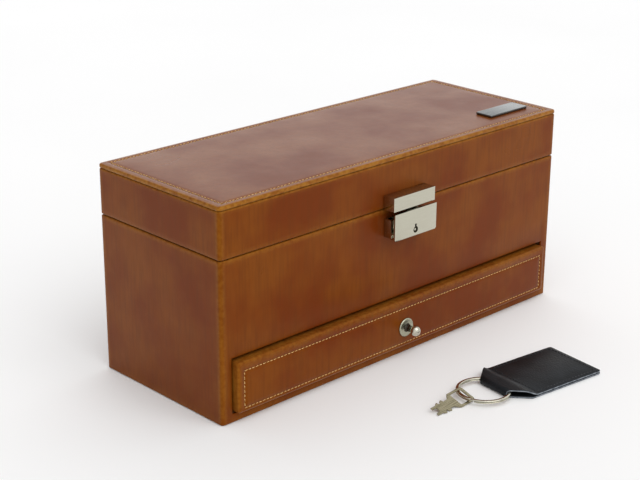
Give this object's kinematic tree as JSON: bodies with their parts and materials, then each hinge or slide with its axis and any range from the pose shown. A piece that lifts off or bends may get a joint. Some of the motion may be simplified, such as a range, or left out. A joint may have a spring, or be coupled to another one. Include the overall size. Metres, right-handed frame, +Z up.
{
  "type": "leather jewellery case",
  "caption": "Oblong leather-covered jewellery case with a rear-hinged lid, a front press lock, a full-width drawer at its base, and a key on a leather fob.",
  "frame": {"origin": "middle of the case's underside, on the surface that it stands on", "axes": "+Z up; the lock, the drawer and the key set are on the -Y side; +X is to the right of someone who faces the lock"},
  "size_m": [0.288, 0.2157, 0.1318],
  "materials": {
    "tan_leather": "glossy aniline-look cowhide, cognac tan",
    "black_leather": "semi-gloss black leather",
    "suede": "napped suede cloth lining",
    "fibreboard": "raw medium-density fibreboard",
    "nickel": "satin nickel plate",
    "steel": "bright drawn steel",
    "thread": "waxed golden sewing thread"
  },
  "bodies": {
    "case": {"base_cover": "suede", "base_board": "fibreboard", "left_board": "fibreboard", "right_board": "fibreboard", "back_board": "fibreboard", "front_board": "fibreboard", "drawer_shelf": "fibreboard", "drawer_stop": "fibreboard", "drawer_guide_left": "fibreboard", "drawer_guide_right": "fibreboard", "body_cover": "tan_leather", "tub_lining": "suede", "tub_divider_left": "suede", "tub_divider_right": "suede", "ring_pad": "suede", "lock_base": "nickel", "lock_rivet_left": "nickel", "lock_rivet_right": "nickel", "lock_spring": "steel", "hinge_left_body_leaf": "nickel", "hinge_right_body_leaf": "nickel", "hinge_left_pin": "steel", "hinge_right_pin": "steel", "hinge_left_body_screw_1": "nickel", "hinge_left_body_screw_2": "nickel", "hinge_right_body_screw_1": "nickel", "hinge_right_body_screw_2": "nickel"},
    "lid": {"lid_top_board": "fibreboard", "lid_front_board": "fibreboard", "lid_back_board": "fibreboard", "lid_left_board": "fibreboard", "lid_right_board": "fibreboard", "lid_cover": "tan_leather", "lid_top_panel": "tan_leather", "lid_lining": "suede", "nameplate": "nickel", "hasp": "nickel", "hinge_left_lid_leaf": "nickel", "hinge_right_lid_leaf": "nickel", "hinge_left_lid_screw_1": "nickel", "hinge_left_lid_screw_2": "nickel", "hinge_right_lid_screw_1": "nickel", "hinge_right_lid_screw_2": "nickel"},
    "drawer": {"drawer_front_board": "fibreboard", "drawer_front_cover": "tan_leather", "drawer_side_left": "fibreboard", "drawer_side_right": "fibreboard", "drawer_back": "fibreboard", "drawer_bottom": "fibreboard", "drawer_lining": "suede", "knob_rose": "nickel", "knob": "nickel"},
    "lock_flap": {"lock_flap": "nickel", "lock_pin_left": "steel", "lock_pin_right": "steel"},
    "lock_cam": {"lock_cam": "steel"},
    "key_fob": {"key_fob": "black_leather"},
    "key_ring": {"split_ring": "steel"},
    "key": {"key": "nickel"}
  },
  "joints": [
    {"name": "lid_hinge", "type": "hinge", "parent": "case", "child": "lid", "pos_m": [0, 0.0563, 0.09885], "axis": [-1, 0, 0], "range_deg": [0, 95]},
    {"name": "drawer_slide", "type": "slide", "parent": "case", "child": "drawer", "axis": [0, -1, 0], "range_m": [0, 0.0737]},
    {"name": "lock_flap_pivot", "type": "hinge", "parent": "case", "child": "lock_flap", "pos_m": [0, -0.0612, 0.08385], "axis": [1, 0, 0], "range_deg": [0, 40]},
    {"name": "lock_cam_turn", "type": "hinge", "parent": "lock_flap", "child": "lock_cam", "pos_m": [0, -0.0603, 0.08485], "axis": [0, 1, 0], "range_deg": [0, 90]},
    {"name": "key_set_slide", "type": "slide", "parent": "case", "child": "key_fob", "axis": [0, -1, 0], "range_m": [0, 0.06]},
    {"name": "ring_turn", "type": "hinge", "parent": "key_fob", "child": "key_ring", "pos_m": [-0.00605, -0.12716, 0.00287], "axis": [0, 0, 1], "range_deg": [-30, 30]},
    {"name": "key_on_ring", "type": "hinge", "parent": "key_ring", "child": "key", "pos_m": [-0.00605, -0.12716, 0.00287], "axis": [0, 0, 1], "range_deg": [-15, 15]}
  ]
}
